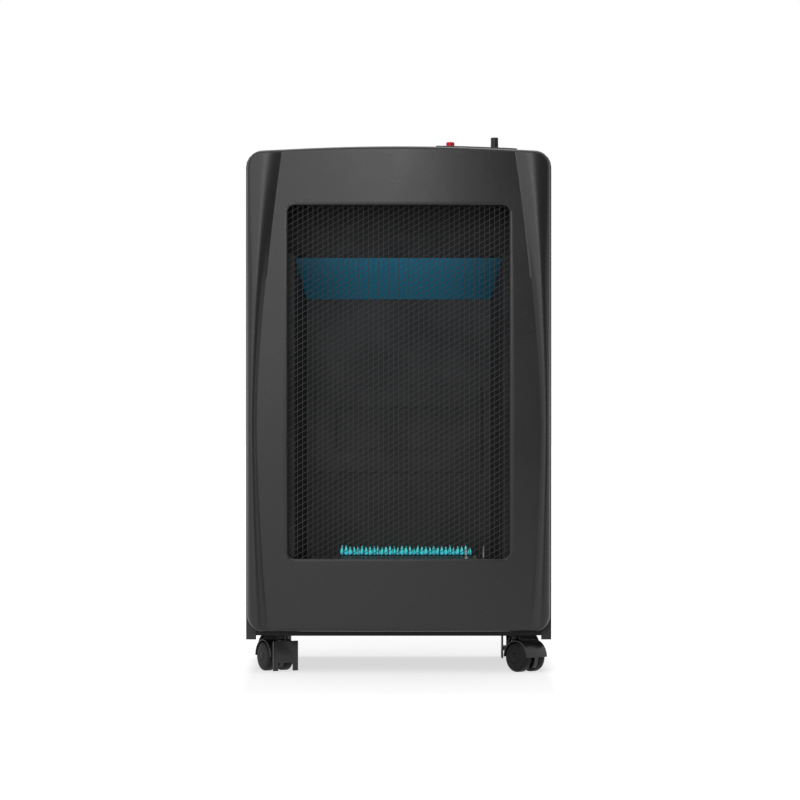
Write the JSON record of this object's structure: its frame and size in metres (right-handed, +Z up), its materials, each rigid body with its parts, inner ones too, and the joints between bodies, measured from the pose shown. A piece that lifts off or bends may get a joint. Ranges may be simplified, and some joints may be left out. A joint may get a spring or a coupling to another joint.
{
  "type": "portable gas cabinet heater",
  "caption": "Cabinet gas heater on twin-wheel casters: bowed front with a guarded blue-flame burner, top knob and igniter, and a tilting rear cover over the bottle space.",
  "frame": {"origin": "on the floor, under the middle of the cabinet's box", "axes": "+X to the right seen from the front, -Y out of the front, +Z up"},
  "size_m": [0.42, 0.3989, 0.736],
  "materials": {
    "charcoal_enamel": "satin dark grey stove enamel",
    "black_enamel": "matt black heat-proof enamel",
    "heat_dulled_steel": "matt grey heat-proof enamel",
    "blued_steel": "steel sheet blued by heat, satin",
    "zinc_sheet": "zinc-coated sheet, dull",
    "burner_steel": "stainless tube, satin",
    "brass_fitting": "machined brass",
    "copper_pipe": "drawn copper",
    "white_ceramic": "unglazed ceramic",
    "igniter_wire": "silicone sleeve",
    "black_plastic": "fine-grained black plastic",
    "red_plastic": "red plastic",
    "caster_plastic": "black nylon",
    "caster_steel": "zinc-plated steel",
    "caster_tread": "black nylon wheel"
  },
  "bodies": {
    "cabinet": {"base_tray": "black_enamel", "side_panel_left": "charcoal_enamel", "side_panel_right": "charcoal_enamel", "top_panel": "charcoal_enamel", "front_fascia": "charcoal_enamel", "guard_mesh": "black_enamel", "cover_hook_left": "zinc_sheet", "cover_hook_right": "zinc_sheet", "chamber_shelf": "zinc_sheet", "chamber_side_left": "heat_dulled_steel", "chamber_side_right": "heat_dulled_steel", "chamber_back_plate": "heat_dulled_steel", "hood_deflector": "blued_steel", "top_heat_shield": "zinc_sheet", "bottle_partition": "zinc_sheet", "burner_tube": "burner_steel", "burner_saddle_left": "zinc_sheet", "burner_saddle_right": "zinc_sheet", "gas_injector": "brass_fitting", "pilot_burner": "burner_steel", "thermocouple": "burner_steel", "spark_electrode": "white_ceramic", "supply_pipe": "copper_pipe", "pilot_pipe": "copper_pipe", "thermocouple_lead": "copper_pipe", "spark_lead": "igniter_wire", "control_plate": "black_plastic", "control_bracket": "zinc_sheet", "gas_valve": "brass_fitting", "valve_nut": "brass_fitting", "inlet_nozzle": "brass_fitting", "piezo_igniter": "black_plastic", "piezo_nut": "black_plastic", "caster_stem_front_left": "caster_steel", "caster_stem_front_right": "caster_steel", "caster_stem_rear_left": "caster_steel", "caster_stem_rear_right": "caster_steel"},
    "caster_front_left": {"caster_hood_front_left": "caster_plastic", "caster_axle_front_left": "caster_steel"},
    "wheel_front_left_a": {"caster_wheel_front_left_a": "caster_tread"},
    "wheel_front_left_b": {"caster_wheel_front_left_b": "caster_tread"},
    "pedal_front_left": {"brake_pedal_front_left": "caster_plastic"},
    "caster_front_right": {"caster_hood_front_right": "caster_plastic", "caster_axle_front_right": "caster_steel"},
    "wheel_front_right_a": {"caster_wheel_front_right_a": "caster_tread"},
    "wheel_front_right_b": {"caster_wheel_front_right_b": "caster_tread"},
    "pedal_rear_right": {"brake_pedal_rear_right": "caster_plastic"},
    "caster_rear_left": {"caster_hood_rear_left": "caster_plastic", "caster_axle_rear_left": "caster_steel"},
    "wheel_rear_left_a": {"caster_wheel_rear_left_a": "caster_tread"},
    "wheel_rear_left_b": {"caster_wheel_rear_left_b": "caster_tread"},
    "caster_rear_right": {"caster_hood_rear_right": "caster_plastic", "caster_axle_rear_right": "caster_steel"},
    "wheel_rear_right_a": {"caster_wheel_rear_right_a": "caster_tread"},
    "wheel_rear_right_b": {"caster_wheel_rear_right_b": "caster_tread"},
    "spindle": {"valve_spindle": "burner_steel"},
    "knob": {"gas_knob": "black_plastic"},
    "button": {"igniter_button": "red_plastic"},
    "cover": {"rear_cover": "charcoal_enamel"}
  },
  "joints": [
    {"name": "swivel_front_left", "type": "hinge", "parent": "cabinet", "child": "caster_front_left", "pos_m": [-0.162, -0.15, 0.044], "axis": [0, 0, 1], "continuous": true},
    {"name": "roll_front_left_a", "type": "hinge", "parent": "caster_front_left", "child": "wheel_front_left_a", "pos_m": [-0.17073, -0.13426, 0.0205], "axis": [-0.8746, -0.4848, 0], "continuous": true},
    {"name": "roll_front_left_b", "type": "hinge", "parent": "caster_front_left", "child": "wheel_front_left_b", "pos_m": [-0.17073, -0.13426, 0.0205], "axis": [-0.8746, -0.4848, 0], "continuous": true},
    {"name": "brake_front_left", "type": "hinge", "parent": "caster_front_left", "child": "pedal_front_left", "pos_m": [-0.15812, -0.157, 0.0358], "axis": [0.8746, 0.4848, 0], "range_deg": [0, 10]},
    {"name": "swivel_front_right", "type": "hinge", "parent": "cabinet", "child": "caster_front_right", "pos_m": [0.162, -0.15, 0.044], "axis": [0, 0, 1], "continuous": true},
    {"name": "roll_front_right_a", "type": "hinge", "parent": "caster_front_right", "child": "wheel_front_right_a", "pos_m": [0.17428, -0.16316, 0.0205], "axis": [0.7314, 0.682, 0], "continuous": true},
    {"name": "roll_front_right_b", "type": "hinge", "parent": "caster_front_right", "child": "wheel_front_right_b", "pos_m": [0.17428, -0.16316, 0.0205], "axis": [0.7314, 0.682, 0], "continuous": true},
    {"name": "brake_rear_right", "type": "hinge", "parent": "caster_rear_right", "child": "pedal_rear_right", "pos_m": [0.154, 0.15, 0.0358], "axis": [0, -1, 0], "range_deg": [0, 10]},
    {"name": "swivel_rear_left", "type": "hinge", "parent": "cabinet", "child": "caster_rear_left", "pos_m": [-0.162, 0.15, 0.044], "axis": [0, 0, 1], "continuous": true},
    {"name": "roll_rear_left_a", "type": "hinge", "parent": "caster_rear_left", "child": "wheel_rear_left_a", "pos_m": [-0.18, 0.15, 0.0205], "axis": [0, -1, 0], "continuous": true},
    {"name": "roll_rear_left_b", "type": "hinge", "parent": "caster_rear_left", "child": "wheel_rear_left_b", "pos_m": [-0.18, 0.15, 0.0205], "axis": [0, -1, 0], "continuous": true},
    {"name": "swivel_rear_right", "type": "hinge", "parent": "cabinet", "child": "caster_rear_right", "pos_m": [0.162, 0.15, 0.044], "axis": [0, 0, 1], "continuous": true},
    {"name": "roll_rear_right_a", "type": "hinge", "parent": "caster_rear_right", "child": "wheel_rear_right_a", "pos_m": [0.18, 0.15, 0.0205], "axis": [0, 1, 0], "continuous": true},
    {"name": "roll_rear_right_b", "type": "hinge", "parent": "caster_rear_right", "child": "wheel_rear_right_b", "pos_m": [0.18, 0.15, 0.0205], "axis": [0, 1, 0], "continuous": true},
    {"name": "knob_press", "type": "slide", "parent": "cabinet", "child": "spindle", "axis": [0, 0, -1], "range_m": [0, 0.004], "stiffness_N_per_m": 700, "springref_m": -0.003},
    {"name": "knob_turn", "type": "hinge", "parent": "spindle", "child": "knob", "pos_m": [0.1323, -0.142, 0.72], "axis": [0, 0, 1], "range_deg": [0, 220]},
    {"name": "igniter_press", "type": "slide", "parent": "cabinet", "child": "button", "axis": [0, 0, -1], "range_m": [0, 0.005], "stiffness_N_per_m": 800, "springref_m": -0.002},
    {"name": "cover_tilt", "type": "hinge", "parent": "cabinet", "child": "cover", "pos_m": [0, 0.2, 0.053], "axis": [-1, 0, 0], "range_deg": [0, 50]}
  ]
}
